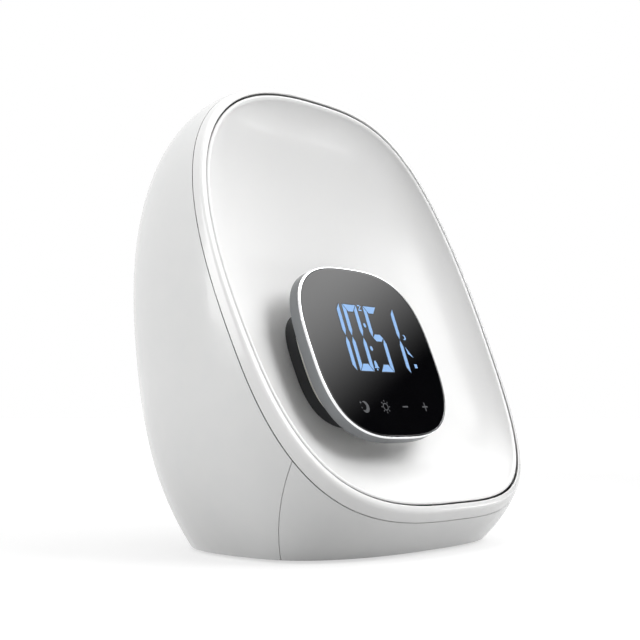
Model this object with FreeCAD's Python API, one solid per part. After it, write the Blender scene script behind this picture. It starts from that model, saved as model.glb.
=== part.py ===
import FreeCAD, Part
import math
import os

# Sunrise alarm clock. Millimetres, +Z up, the face looks to -Y and leans back.
# The origin is under the middle of the clock, on the surface that it stands on.

Vec = FreeCAD.Vector
os.makedirs("parts", exist_ok=True)

# Housing: an egg with a flat bottom, wider and deeper at its belly
CROWN_HEIGHT = 182.0
BELLY_HEIGHT = 75.0
BELLY_HALF_WIDTH = 84.0
BASE_HALF_WIDTH = 62.5
BELLY_FRONT_REACH = 57.6
BASE_FRONT_REACH = 32.7
BELLY_BACK_REACH = 66.0
BASE_BACK_REACH = 62.3
CENTRE_Y_AT_BASE = -16.8
CENTRE_LEAN = 0.142
CROWN_POWER = 2.9
CROWN_BACK_POWER = 1.9
SIDE_POWER = 2.8
CHIN_POWER = 3.9
PLAN_POWER = 2.5
WALL = 2.4

# Slanted front opening: a bowed cut, leaning back
LEAN_DEG = 22.5
BOW_RADIUS = 340.0
OPENING_Y_AT_BASE = -68.7
RING_DEPTH = 3.6
RING_FACE = 2.5
SHADOW_GAP = 0.35
RING_GROOVE = 0.4
DISH_RECESS = 0.5
DISH_WALL = 1.9
DISH_LIP = 1.6
DISH_DEPTH = 35.0
BOWL_CENTRE_HEIGHT = 80.0
BOWL_SPREAD_POWER = 2.2
BOWL_EDGE_POWER = 1.5
BOWL_FLOOR_SHARE = 0.25
BOWL_REACH = 24.0

# Parting plane between the rear shell and the chin, leaning forward
PARTING_Y_AT_BASE = -27.4
PARTING_SLOPE = -0.43
PARTING_GAP = 0.15

# Display pod: a rounded-square block, parallel to the leaning opening
POD_CENTRE_Y = -23.0
POD_CENTRE_Z = 75.9
GLASS_HALF_WIDTH = 39.0
GLASS_HALF_HEIGHT = 35.6
POD_POWER = 2.9
GLASS_THICKNESS = 1.5
GLASS_CLEARANCE = 0.1
BEZEL_RIM = 1.0
BEZEL_DEPTH = 5.0
BEZEL_LEDGE = 1.6
CUP_DEPTH = 5.6
CUP_INSET = 3.0
CUP_TAPER = 5.0
CUP_WALL = 1.6
DIFFUSER_DEPTH = 3.0
DIFFUSER_INSET = 9.5
DIFFUSER_BAND = 6.5
NECK_INSET = 11.0
NECK_WALL = 2.4
NECK_FLANGE = 2.0
CABLE_HOLE_RADIUS = 7.0
LCD_WIDTH = 54.0
LCD_HEIGHT = 34.0
LCD_RISE = 6.0
LCD_THICKNESS = 1.1
BACKLIGHT_THICKNESS = 1.6
DISPLAY_BOARD_THICKNESS = 1.2
LED_BOARD_THICKNESS = 1.2
LED_SIZE = 2.6
LED_HEIGHT = 1.2
LED_COUNT = 16
HEAT_SINK_THICKNESS = 3.0

# Base, feet and battery hatch
FOOT_STAND = 1.0
FOOT_RADIUS = 6.0
FOOT_RECESS = 0.8
FOOT_FILLET = 0.5
FOOT_X = 36.0
FOOT_FRONT_Y = -25.0
FOOT_BACK_Y = 27.0
BASE_LIP = 0.6
BASE_THICKNESS = 3.0
BASE_CLEARANCE = 0.15
BOSS_RADIUS = 3.6
BOSS_HEIGHT = 14.0
BOSS_X = 47.0
BOSS_FRONT_Y = -22.0
BOSS_BACK_Y = 21.0
SCREW_RADIUS = 1.5
SCREW_HEAD_RADIUS = 2.8
SCREW_HEAD_HEIGHT = 1.8
SCREW_CLEARANCE = 0.15
SCREW_BITE_CLEARANCE = 0.02
SCREW_TIP_GAP = 0.3
SMALL_HEAD_SCALE = 0.8
SMALL_HEAD_HEIGHT = 1.4
SCREW_LENGTH = 11.0
HATCH_X = 0.0
HATCH_Y = 2.0
HATCH_RADIUS = 13.0
HATCH_CLEARANCE = 0.25
HATCH_TAB_REACH = 2.0
HATCH_TAB_THICKNESS = 1.2
HATCH_TAB_GAP = 0.2
HATCH_TAB_ANGLE = 40.0
COIN_SLOT_LENGTH = 14.0
COIN_SLOT_WIDTH = 2.2
COIN_SLOT_DEPTH = 1.0
CELL_RADIUS = 10.0
CELL_HEIGHT = 3.2
CELL_CLEARANCE = 0.15
CELL_WALL = 1.4
CELL_ROOF = 1.6

# Main board on its posts, with the power inlet at its rear edge
BOARD_WIDTH = 74.0
BOARD_FRONT_Y = -24.0
BOARD_BACK_Y = 35.0
BOARD_THICKNESS = 1.6
BOARD_POST_HEIGHT = 9.0
BOARD_POST_RADIUS = 2.8
BOARD_POST_INSET = 5.0
JACK_X = -21.0
JACK_WIDTH = 9.0
JACK_HEIGHT = 11.0
JACK_BORE_RADIUS = 3.2
JACK_BORE_DEPTH = 9.5
JACK_RECESS = 0.6
JACK_HOLE_CLEARANCE = 0.3

# Loudspeaker behind the rear grille
SPEAKER_Z = 50.0
SPEAKER_RADIUS = 20.0
SPEAKER_RIM = 2.2
SPEAKER_BASKET_DEPTH = 7.0
SPEAKER_BASKET_RADIUS = 13.0
MAGNET_RADIUS = 11.0
MAGNET_DEPTH = 6.0
CONE_THICKNESS = 0.8
GRILLE_HOLE_RADIUS = 1.3
GRILLE_PITCH = 4.6
GRILLE_RINGS = 3
SPEAKER_SEAT_Y = 47.0
SPEAKER_SEAT_WALL = 2.0

# Rear buttons
BUTTON_NAMES = ("volume_down_button", "volume_up_button", "sound_button", "time_button", "alarm_button")
BUTTON_Z = 104.0
BUTTON_PITCH = 15.0
BUTTON_RADIUS = 4.8
BUTTON_PROUD = 1.0
BUTTON_CLEARANCE = 0.3
BUTTON_TRAVEL = 0.8
BUTTON_FLANGE = 1.2
BUTTON_FLANGE_THICKNESS = 1.2
BUTTON_FLANGE_Y = 51.3
BUTTON_STEM_RADIUS = 1.6
BUTTON_STEM_LENGTH = 1.5
SWITCH_GAP = 0.15
SWITCH_SIZE = 6.0
SWITCH_HEIGHT = 3.4
BUTTON_BOARD_THICKNESS = 1.6
BUTTON_BOARD_MARGIN = 7.0
BUTTON_POST_RADIUS = 2.6

LEAN = math.radians(LEAN_DEG)
BODY_Z = FOOT_STAND


def power_point(cosine, power):
    return math.copysign(abs(cosine) ** (2.0 / power), cosine)


def egg_reach(height, inset):
    """Half-width, front reach and back reach of the egg at a height above its flat bottom."""
    crown = CROWN_HEIGHT - FOOT_STAND - inset
    if height > BELLY_HEIGHT:
        share = min((height - BELLY_HEIGHT) / (crown - BELLY_HEIGHT), 1.0)
        front = (1.0 - share ** CROWN_POWER) ** (1.0 / CROWN_POWER)
        back = (1.0 - share ** CROWN_BACK_POWER) ** (1.0 / CROWN_BACK_POWER)
        return (
            (BELLY_HALF_WIDTH - inset) * front,
            (BELLY_FRONT_REACH - inset) * front,
            (BELLY_BACK_REACH - inset) * back,
        )
    share = (BELLY_HEIGHT - height) / BELLY_HEIGHT
    width = BELLY_HALF_WIDTH - (BELLY_HALF_WIDTH - BASE_HALF_WIDTH) * share ** SIDE_POWER
    front = BELLY_FRONT_REACH - (BELLY_FRONT_REACH - BASE_FRONT_REACH) * share ** CHIN_POWER
    back = BELLY_BACK_REACH - (BELLY_BACK_REACH - BASE_BACK_REACH) * share ** SIDE_POWER
    return width - inset, front - inset, back - inset


def bow_at(x):
    return x * x / (2.0 * BOW_RADIUS)


def opening_y(x, height):
    """Where the bowed, leaning opening lies at a point of the elevation."""
    return OPENING_Y_AT_BASE + height * math.tan(LEAN) + bow_at(x)


def egg_back_y(x, height, inset):
    """Where the back of the egg lies at a point of the rear elevation."""
    width, front, back = egg_reach(height, inset)
    centre = CENTRE_Y_AT_BASE + CENTRE_LEAN * height
    return centre + back * (1.0 - abs(x / width) ** PLAN_POWER) ** (1.0 / PLAN_POWER)


def smooth_loop(points):
    curve = Part.BSplineCurve()
    curve.interpolate(Points=points, PeriodicFlag=True)
    return Part.Wire([curve.toShape()])


def egg_section(height, inset, count=48):
    """One level outline of the egg."""
    width, front, back = egg_reach(height, inset)
    centre = CENTRE_Y_AT_BASE + CENTRE_LEAN * height
    points = []
    for index in range(count):
        turn = 2.0 * math.pi * (index + 0.5) / count
        x = width * power_point(math.cos(turn), PLAN_POWER)
        reach = back if math.sin(turn) > 0 else front
        y = centre + reach * power_point(math.sin(turn), PLAN_POWER)
        points.append(Vec(x, y, height + BODY_Z))
    return smooth_loop(points)


def egg_solid(inset, bottom=0.0):
    """The egg as one loft through level outlines that crowd together near the crown."""
    crown = CROWN_HEIGHT - FOOT_STAND - inset
    heights = [bottom]
    heights += [BELLY_HEIGHT * share for share in (0.12, 0.28, 0.5, 0.75, 1.0)]
    rise = crown - BELLY_HEIGHT
    crown_shares = (0.22, 0.42, 0.6, 0.74, 0.85, 0.93, 0.975, 0.995)
    heights += [BELLY_HEIGHT + rise * share for share in crown_shares]
    wires = [egg_section(height, inset) for height in heights]
    return Part.makeLoft(wires, True, False)


def space_in_front(depth):
    """Everything in front of the opening's surface moved back by a depth along its normal."""
    shift = depth / math.cos(LEAN)
    far = 260.0
    half = 130.0
    foot = OPENING_Y_AT_BASE + shift - far * math.tan(LEAN) * 0.25
    low = BODY_Z - far * 0.25
    bow = half * half / (2.0 * BOW_RADIUS)
    arc = Part.Arc(Vec(-half, foot + bow, low), Vec(0, foot, low), Vec(half, foot + bow, low)).toShape()
    left = Vec(-half, foot - far, low)
    right = Vec(half, foot - far, low)
    sides = Part.makePolygon([Vec(half, foot + bow, low), right, left, Vec(-half, foot + bow, low)])
    outline = Part.Wire([arc] + sides.Edges)
    return Part.Face(outline).extrude(Vec(0, far * 1.3 * math.tan(LEAN), far * 1.3))


def outside_egg(x, height):
    """Positive where a point of the opening's surface lies outside the egg."""
    width, front, back = egg_reach(height, 0.0)
    along = opening_y(x, height) - CENTRE_Y_AT_BASE - CENTRE_LEAN * height
    reach = back if along > 0 else front
    return abs(x / width) ** PLAN_POWER + abs(along / reach) ** PLAN_POWER - 1.0


def rim_outline(inset, count=64):
    """The opening's outline, found by halving steps out from the bowl's centre, then moved inwards."""
    rim = []
    for index in range(count):
        turn = 2.0 * math.pi * (index + 0.5) / count
        near, far = 10.0, 120.0
        for step in range(40):
            middle = (near + far) / 2.0
            x = middle * math.cos(turn)
            height = BOWL_CENTRE_HEIGHT + middle * math.sin(turn)
            inside = 0.0 < height < CROWN_HEIGHT - FOOT_STAND - 0.01 and outside_egg(x, height) < 0.0
            near, far = (middle, far) if inside else (near, middle)
        x = near * math.cos(turn)
        rim.append((x, near * math.sin(turn) / math.cos(LEAN) + bow_at(x) * math.sin(LEAN)))
    moved = []
    for index, (x, rise) in enumerate(rim):
        before = rim[index - 1]
        after = rim[(index + 1) % count]
        length = math.hypot(after[0] - before[0], after[1] - before[1])
        shift_x = inset * (after[1] - before[1]) / length
        moved.append((x - shift_x, rise + inset * (after[0] - before[0]) / length))
    return moved


def face_wire(outline, share, depth, bow_share):
    """An outline drawn on the leaning opening: shrunk to a share and sunk along the normal."""
    centre_y = opening_y(0.0, BOWL_CENTRE_HEIGHT)
    points = []
    for across, rise in outline:
        x = share * across
        sunk = depth + bow_share * bow_at(x) * math.cos(LEAN)
        y = centre_y + share * rise * math.sin(LEAN) + sunk * math.cos(LEAN)
        z = BOWL_CENTRE_HEIGHT + BODY_Z + share * rise * math.cos(LEAN) - sunk * math.sin(LEAN)
        points.append(Vec(x, y, z))
    return smooth_loop(points)


def bowl_depth(share):
    return (1.0 - share ** BOWL_SPREAD_POWER) ** (1.0 / BOWL_EDGE_POWER)


def bowl_solid(inset, depth):
    """A bowl that fills the opening: straight walls in front of it, a soft hollow behind it."""
    outline = rim_outline(inset)
    wires = [face_wire(outline, 1.0, BOWL_REACH * (bow - 1.0), bow) for bow in (0.0, 0.25, 0.5, 0.75, 1.0)]
    for share in (0.9975, 0.985, 0.955, 0.9, 0.82, 0.7, 0.55, 0.4, BOWL_FLOOR_SHARE):
        bow_share = min(1.0, (share - BOWL_FLOOR_SHARE) / (1.0 - BOWL_FLOOR_SHARE))
        wires.append(face_wire(outline, share, depth * bowl_depth(share), bow_share))
    return Part.makeLoft(wires, True, False)


def space_before_parting(shift):
    """Everything on the chin's side of the parting plane."""
    size = 300.0
    low = -10.0
    foot = PARTING_Y_AT_BASE + shift - PARTING_SLOPE * (BODY_Z - low)
    edge = [
        Vec(-size, foot, low),
        Vec(-size, foot + PARTING_SLOPE * size, low + size),
        Vec(-size, foot - size * 2, low + size),
        Vec(-size, foot - size * 2, low),
    ]
    return Part.Face(Part.makePolygon(edge + [edge[0]])).extrude(Vec(2 * size, 0, 0))


def rod(radius, start, end):
    axis = end.sub(start)
    return Part.makeCylinder(radius, axis.Length, start, axis)


def block(low, high):
    size = high.sub(low)
    return Part.makeBox(size.x, size.y, size.z, low)


def mirror_positions(x, front_y, back_y):
    return [(side * x, y) for side in (-1, 1) for y in (front_y, back_y)]


# Pod pieces are drawn lying flat, with the glass face at w = 0 looking up, then leaned into place
def pod_wire(inset, w, count=40):
    points = []
    for index in range(count):
        turn = 2.0 * math.pi * (index + 0.5) / count
        u = (GLASS_HALF_WIDTH - inset) * power_point(math.cos(turn), POD_POWER)
        v = (GLASS_HALF_HEIGHT - inset) * power_point(math.sin(turn), POD_POWER)
        points.append(Vec(u, v, w))
    return smooth_loop(points)


def pod_block(top_inset, top, bottom_inset, bottom):
    return Part.makeLoft([pod_wire(top_inset, top), pod_wire(bottom_inset, bottom)], True, True)


def lean_into_place(shape):
    placed = shape.copy()
    placed.rotate(Vec(0, 0, 0), Vec(1, 0, 0), 90.0 - LEAN_DEG)
    placed.translate(Vec(0, POD_CENTRE_Y, POD_CENTRE_Z))
    return placed


def pod_screw_spots():
    reach_u = GLASS_HALF_WIDTH * 0.58
    reach_v = GLASS_HALF_HEIGHT * 0.58
    return [(side * reach_u, level * reach_v) for side in (-1, 1) for level in (-1, 1)]


def neck_screw_spots():
    reach = CABLE_HOLE_RADIUS + BOSS_RADIUS + 1.0
    turns = [math.radians(angle) for angle in (90, 210, 330)]
    return [(reach * math.cos(turn), reach * math.sin(turn)) for turn in turns]


CUP_BACK = -BEZEL_DEPTH - CUP_DEPTH
NECK_TOP = CUP_BACK - DIFFUSER_DEPTH
POD_SINK = (POD_CENTRE_Y - opening_y(0.0, POD_CENTRE_Z - BODY_Z)) * math.cos(LEAN)
FLOOR_BACK = POD_SINK - DISH_DEPTH * bowl_depth(BOWL_FLOOR_SHARE) - DISH_WALL


def pod_pieces():
    rim = pod_block(-BEZEL_RIM + 0.5, 0.0, -BEZEL_RIM, -0.5)
    band = pod_block(-BEZEL_RIM, -0.5, -BEZEL_RIM, -BEZEL_DEPTH)
    seat = pod_block(-GLASS_CLEARANCE, 1.0, -GLASS_CLEARANCE, -GLASS_THICKNESS)
    through = pod_block(BEZEL_LEDGE, 1.0, BEZEL_LEDGE, -BEZEL_DEPTH - 1.0)
    bezel = rim.fuse(band).removeSplitter().cut(seat).cut(through)

    glass = pod_block(0.4, 0.0, 0.0, -0.4).fuse(pod_block(0.0, -0.4, 0.0, -GLASS_THICKNESS))

    half = LCD_WIDTH / 2.0
    low = LCD_RISE - LCD_HEIGHT / 2.0
    high = LCD_RISE + LCD_HEIGHT / 2.0
    lcd_back = -GLASS_THICKNESS - LCD_THICKNESS
    light_back = lcd_back - BACKLIGHT_THICKNESS
    panel = block(Vec(-half, low, lcd_back), Vec(half, high, -GLASS_THICKNESS))
    light = block(Vec(-half, low, light_back), Vec(half, high, lcd_back))
    board_back = light_back - DISPLAY_BOARD_THICKNESS
    board_inset = CUP_INSET + CUP_WALL + 0.8
    board = pod_block(board_inset, light_back, board_inset, board_back)

    shell = pod_block(CUP_INSET, -BEZEL_DEPTH, CUP_INSET + CUP_TAPER, CUP_BACK)
    hollow = pod_block(
        CUP_INSET + CUP_WALL, -BEZEL_DEPTH, CUP_INSET + CUP_TAPER + CUP_WALL, CUP_BACK + CUP_WALL
    )
    cup = shell.cut(hollow)
    cup = cup.cut(rod(CABLE_HOLE_RADIUS, Vec(0, 0, CUP_BACK - 1), Vec(0, 0, CUP_BACK + CUP_WALL + 1)))
    screws = []
    for u, v in pod_screw_spots():
        post = rod(BOSS_RADIUS * 0.8, Vec(u, v, CUP_BACK + CUP_WALL), Vec(u, v, board_back))
        cup = cup.fuse(post)
        head = rod(SCREW_HEAD_RADIUS * 0.75, Vec(u, v, CUP_BACK), Vec(u, v, CUP_BACK + 1.2))
        shank = rod(SCREW_RADIUS * 0.7, Vec(u, v, CUP_BACK + 1.2), Vec(u, v, board_back))
        screws.append(head.fuse(shank).removeSplitter())
    for screw in screws:
        cup = cup.cut(screw)

    outer = pod_block(DIFFUSER_INSET, CUP_BACK, DIFFUSER_INSET, NECK_TOP)
    inner_inset = DIFFUSER_INSET + DIFFUSER_BAND
    diffuser = outer.cut(pod_block(inner_inset, CUP_BACK + 1, inner_inset, NECK_TOP - 1))

    board_inset = inner_inset + 0.3
    led_board = pod_block(board_inset, NECK_TOP + LED_BOARD_THICKNESS, board_inset, NECK_TOP)
    led_board = led_board.cut(rod(CABLE_HOLE_RADIUS, Vec(0, 0, NECK_TOP - 1), Vec(0, 0, 0)))
    leds = []
    for index in range(LED_COUNT):
        turn = 2.0 * math.pi * (index + 0.5) / LED_COUNT
        u = (GLASS_HALF_WIDTH - board_inset - LED_SIZE) * power_point(math.cos(turn), 2.2)
        v = (GLASS_HALF_HEIGHT - board_inset - LED_SIZE) * power_point(math.sin(turn), 2.2)
        half_led = LED_SIZE / 2.0
        floor = NECK_TOP + LED_BOARD_THICKNESS
        low_corner = Vec(u - half_led, v - half_led, floor)
        leds.append(block(low_corner, Vec(u + half_led, v + half_led, floor + LED_HEIGHT)))

    flange = pod_block(NECK_INSET, NECK_TOP, NECK_INSET, NECK_TOP - NECK_FLANGE)
    tube = pod_block(NECK_INSET, NECK_TOP, NECK_INSET - 2.0, NECK_TOP - 40.0)
    core_inset = NECK_INSET + NECK_WALL
    core = pod_block(core_inset, NECK_TOP - NECK_FLANGE, core_inset - 2.0, NECK_TOP - 41.0)
    neck = tube.cut(core).fuse(flange)
    for u, v in neck_screw_spots():
        neck = neck.fuse(rod(BOSS_RADIUS, Vec(u, v, NECK_TOP - NECK_FLANGE), Vec(u, v, NECK_TOP - 40.0)))
        neck = neck.cut(rod(SCREW_RADIUS - 0.2, Vec(u, v, NECK_TOP - 41.0), Vec(u, v, FLOOR_BACK + DISH_WALL + 3.0)))
    neck = neck.cut(rod(CABLE_HOLE_RADIUS, Vec(0, 0, NECK_TOP - 60), Vec(0, 0, 0)))
    sink_back = NECK_TOP - NECK_FLANGE - HEAT_SINK_THICKNESS
    sink_inset = NECK_INSET + NECK_WALL + 0.3
    sink = pod_block(sink_inset, NECK_TOP - NECK_FLANGE, sink_inset, sink_back)
    for u, v in neck_screw_spots():
        sink = sink.cut(rod(BOSS_RADIUS + 0.2, Vec(u, v, sink_back - 1), Vec(u, v, 0)))
    sink = sink.cut(rod(CABLE_HOLE_RADIUS, Vec(0, 0, sink_back - 1), Vec(0, 0, 0)))

    flat = {
        "pod_bezel": bezel,
        "pod_glass": glass,
        "lcd_panel": panel,
        "lcd_backlight": light,
        "display_board": board,
        "pod_rear_cup": cup,
        "pod_screws": Part.makeCompound(screws),
        "light_diffuser": diffuser,
        "led_board": led_board,
        "led_emitters": Part.makeCompound(leds),
        "pod_neck": neck,
        "heat_sink": sink,
    }
    return {name: lean_into_place(shape) for name, shape in flat.items()}


def inner_bowl():
    return bowl_solid(RING_FACE + RING_GROOVE + DISH_LIP, DISH_DEPTH)


def dish_piece():
    """The concave reflector: one bowl inside another, cut off just behind the opening."""
    outer = bowl_solid(RING_FACE + RING_GROOVE, DISH_DEPTH + DISH_WALL)
    dish = outer.cut(inner_bowl()).cut(space_in_front(DISH_RECESS))
    dish = dish.cut(lean_into_place(rod(CABLE_HOLE_RADIUS, Vec(0, 0, FLOOR_BACK - 5), Vec(0, 0, NECK_TOP))))
    screws = []
    for u, v in neck_screw_spots():
        dish = dish.cut(lean_into_place(rod(SCREW_RADIUS, Vec(u, v, FLOOR_BACK - 5), Vec(u, v, NECK_TOP))))
        head_end = Vec(u, v, FLOOR_BACK - SMALL_HEAD_HEIGHT)
        head = rod(SCREW_HEAD_RADIUS * SMALL_HEAD_SCALE, head_end, Vec(u, v, FLOOR_BACK))
        shank = rod(SCREW_RADIUS - 0.2, Vec(u, v, FLOOR_BACK), Vec(u, v, FLOOR_BACK + DISH_WALL + 3.0))
        screws.append(lean_into_place(head.fuse(shank).removeSplitter()))
    return dish, Part.makeCompound(screws)


def base_outline(inset, low, high):
    wire = egg_section(0.0, WALL + inset)
    face = Part.Face(wire)
    face.translate(Vec(0, 0, low - BODY_Z))
    return face.extrude(Vec(0, 0, high - low))


PLATE_LOW = BODY_Z + BASE_LIP
PLATE_TOP = PLATE_LOW + BASE_THICKNESS
BOARD_LOW = PLATE_TOP + BOARD_POST_HEIGHT
BOARD_TOP = BOARD_LOW + BOARD_THICKNESS
JACK_Z = BOARD_TOP + JACK_HEIGHT / 2.0


def base_spots():
    return mirror_positions(BOSS_X, BOSS_FRONT_Y, BOSS_BACK_Y)


def foot_spots():
    return mirror_positions(FOOT_X, FOOT_FRONT_Y, FOOT_BACK_Y)


def board_spots():
    reach = BOARD_WIDTH / 2.0 - BOARD_POST_INSET
    return mirror_positions(reach, BOARD_FRONT_Y + BOARD_POST_INSET, BOARD_BACK_Y - BOARD_POST_INSET)


def hatch_tabs(reach, low, high, extra_angle):
    """Two opposite sector tabs round the hatch's axis."""
    tabs = []
    for start in (-HATCH_TAB_ANGLE / 2.0, 180.0 - HATCH_TAB_ANGLE / 2.0):
        sector = Part.makeCylinder(
            reach, high - low, Vec(HATCH_X, HATCH_Y, low), Vec(0, 0, 1), HATCH_TAB_ANGLE + extra_angle
        )
        sector.rotate(Vec(HATCH_X, HATCH_Y, 0), Vec(0, 0, 1), start - extra_angle / 2.0)
        tabs.append(sector)
    return tabs


def base_pieces():
    plate = base_outline(BASE_CLEARANCE, PLATE_LOW, PLATE_TOP)
    hole_radius = HATCH_RADIUS + HATCH_CLEARANCE
    plate = plate.cut(rod(hole_radius, Vec(HATCH_X, HATCH_Y, 0), Vec(HATCH_X, HATCH_Y, PLATE_TOP + 1)))
    notches = hatch_tabs(hole_radius + HATCH_TAB_REACH + 0.4, PLATE_LOW, PLATE_TOP, 8.0)
    for notch in notches:
        notch.rotate(Vec(HATCH_X, HATCH_Y, 0), Vec(0, 0, 1), 90.0)
        plate = plate.cut(notch)

    feet = []
    for x, y in foot_spots():
        seat = rod(FOOT_RADIUS, Vec(x, y, 0), Vec(x, y, PLATE_LOW + FOOT_RECESS))
        plate = plate.cut(seat)
        lowest = min(seat.Edges, key=lambda edge: edge.BoundBox.ZMax)
        feet.append(seat.makeFillet(FOOT_FILLET, [lowest]))

    screws = []
    for x, y in base_spots():
        head = rod(SCREW_HEAD_RADIUS, Vec(x, y, PLATE_LOW), Vec(x, y, PLATE_LOW + SCREW_HEAD_HEIGHT))
        shank = rod(SCREW_RADIUS, Vec(x, y, PLATE_LOW), Vec(x, y, PLATE_LOW + SCREW_LENGTH))
        bore = rod(SCREW_RADIUS + SCREW_CLEARANCE, Vec(x, y, 0), Vec(x, y, PLATE_TOP + 1))
        sink = rod(SCREW_HEAD_RADIUS + SCREW_CLEARANCE, Vec(x, y, 0), Vec(x, y, PLATE_LOW + SCREW_HEAD_HEIGHT))
        plate = plate.cut(bore).cut(sink)
        screws.append(head.fuse(shank).removeSplitter())

    board_screws = []
    for x, y in board_spots():
        plate = plate.fuse(rod(BOARD_POST_RADIUS, Vec(x, y, PLATE_TOP - 0.5), Vec(x, y, BOARD_LOW)))
        head_top = Vec(x, y, BOARD_TOP + SMALL_HEAD_HEIGHT)
        head = rod(SCREW_HEAD_RADIUS * SMALL_HEAD_SCALE, Vec(x, y, BOARD_TOP), head_top)
        shank = rod(SCREW_RADIUS * 0.8, Vec(x, y, BOARD_TOP - 7.0), Vec(x, y, BOARD_TOP))
        board_screws.append(head.fuse(shank).removeSplitter())
    for screw in board_screws:
        plate = plate.cut(screw)

    hatch_top = PLATE_TOP + HATCH_TAB_GAP
    hatch = rod(HATCH_RADIUS, Vec(HATCH_X, HATCH_Y, PLATE_LOW), Vec(HATCH_X, HATCH_Y, PLATE_TOP))
    neck = rod(HATCH_RADIUS - 1.5, Vec(HATCH_X, HATCH_Y, PLATE_TOP), Vec(HATCH_X, HATCH_Y, hatch_top))
    hatch = hatch.fuse(neck)
    for tab in hatch_tabs(hole_radius + HATCH_TAB_REACH, hatch_top, hatch_top + HATCH_TAB_THICKNESS, 0.0):
        hatch = hatch.fuse(tab)
    cap = rod(
        HATCH_RADIUS - 1.5, Vec(HATCH_X, HATCH_Y, hatch_top), Vec(HATCH_X, HATCH_Y, hatch_top + HATCH_TAB_THICKNESS)
    )
    slot = block(
        Vec(HATCH_X - COIN_SLOT_LENGTH / 2.0, HATCH_Y - COIN_SLOT_WIDTH / 2.0, PLATE_LOW),
        Vec(HATCH_X + COIN_SLOT_LENGTH / 2.0, HATCH_Y + COIN_SLOT_WIDTH / 2.0, PLATE_LOW + COIN_SLOT_DEPTH),
    )
    hatch = hatch.fuse(cap).removeSplitter().cut(slot)

    cell_top = BOARD_LOW - CELL_ROOF
    cell_low = cell_top - CELL_HEIGHT
    centre = Vec(HATCH_X, HATCH_Y, 0)
    cell = rod(CELL_RADIUS, centre.add(Vec(0, 0, cell_low)), centre.add(Vec(0, 0, cell_top)))
    wall_radius = CELL_RADIUS + CELL_CLEARANCE + CELL_WALL
    holder = rod(wall_radius, centre.add(Vec(0, 0, cell_low)), centre.add(Vec(0, 0, BOARD_LOW)))
    inside = rod(
        CELL_RADIUS + CELL_CLEARANCE, centre.add(Vec(0, 0, cell_low - 1)), centre.add(Vec(0, 0, cell_top))
    )
    holder = holder.cut(inside)

    return {
        "base_plate": plate,
        "rubber_feet": Part.makeCompound(feet),
        "base_screws": Part.makeCompound(screws),
        "board_screws": Part.makeCompound(board_screws),
        "battery_door": hatch,
        "coin_cell": cell,
        "cell_holder": holder,
    }


def board_pieces():
    half = BOARD_WIDTH / 2.0
    board = block(Vec(-half, BOARD_FRONT_Y, BOARD_LOW), Vec(half, BOARD_BACK_Y, BOARD_TOP))
    for x, y in board_spots():
        board = board.cut(rod(SCREW_RADIUS, Vec(x, y, BOARD_LOW - 1), Vec(x, y, BOARD_TOP + 1)))
    chips = [
        block(Vec(-8, -10, BOARD_TOP), Vec(6, 4, BOARD_TOP + 1.6)),
        block(Vec(14, -14, BOARD_TOP), Vec(22, -2, BOARD_TOP + 1.4)),
        block(Vec(-24, -16, BOARD_TOP), Vec(-14, -8, BOARD_TOP + 1.8)),
        rod(4.0, Vec(-28, 12, BOARD_TOP), Vec(-28, 12, BOARD_TOP + 9)),
        rod(3.1, Vec(26, 16, BOARD_TOP), Vec(26, 16, BOARD_TOP + 7)),
        block(Vec(2, 14, BOARD_TOP), Vec(14, 22, BOARD_TOP + 4.5)),
    ]
    jack_half = JACK_WIDTH / 2.0
    jack_front = BOARD_BACK_Y - 9.0
    jack = block(
        Vec(JACK_X - jack_half, jack_front, BOARD_TOP), Vec(JACK_X + jack_half, 80.0, BOARD_TOP + JACK_HEIGHT)
    )
    jack = jack.common(egg_solid(JACK_RECESS))
    mouth = egg_back_y(JACK_X, JACK_Z - BODY_Z, JACK_RECESS)
    bore = rod(JACK_BORE_RADIUS, Vec(JACK_X, mouth - JACK_BORE_DEPTH, JACK_Z), Vec(JACK_X, mouth + 5, JACK_Z))
    jack = jack.cut(bore)
    return {"main_board": board, "board_chips": Part.makeCompound(chips), "dc_jack": jack}


def speaker_pieces():
    """A shallow loudspeaker whose rim rests on the seat behind the grille."""
    face = SPEAKER_SEAT_Y
    centre = Vec(0, 0, SPEAKER_Z)

    def disc(radius, start, end):
        return rod(radius, centre.add(Vec(0, start, 0)), centre.add(Vec(0, end, 0)))

    rim_back = face - SPEAKER_RIM
    basket_back = rim_back - SPEAKER_BASKET_DEPTH
    rim = disc(SPEAKER_RADIUS, rim_back, face)
    basket = Part.makeCone(
        SPEAKER_RADIUS - 1.5,
        SPEAKER_BASKET_RADIUS,
        SPEAKER_BASKET_DEPTH,
        centre.add(Vec(0, rim_back, 0)),
        Vec(0, -1, 0),
    )
    frame = rim.fuse(basket)
    mouth_radius = SPEAKER_RADIUS - 3.0
    hollow = Part.makeCone(
        mouth_radius,
        SPEAKER_BASKET_RADIUS - 3.0,
        SPEAKER_BASKET_DEPTH + SPEAKER_RIM - 1.2,
        centre.add(Vec(0, face, 0)),
        Vec(0, -1, 0),
    )
    frame = frame.cut(hollow)
    cone_front = face - 1.0
    cone_depth = SPEAKER_BASKET_DEPTH + SPEAKER_RIM - 4.0
    shrink = (mouth_radius - SPEAKER_BASKET_RADIUS + 3.0) / (SPEAKER_BASKET_DEPTH + SPEAKER_RIM - 1.2)
    big = mouth_radius - shrink * 1.0 - 0.02
    small = big - shrink * cone_depth
    cone = Part.makeCone(big, small, cone_depth, centre.add(Vec(0, cone_front, 0)), Vec(0, -1, 0))
    dent = Part.makeCone(
        big - CONE_THICKNESS, 4.0, cone_depth - CONE_THICKNESS, centre.add(Vec(0, cone_front, 0)), Vec(0, -1, 0)
    )
    cone = cone.cut(dent)
    magnet = disc(MAGNET_RADIUS, basket_back - MAGNET_DEPTH, basket_back)
    return {"speaker_frame": frame, "speaker_cone": cone, "speaker_magnet": magnet}


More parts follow.
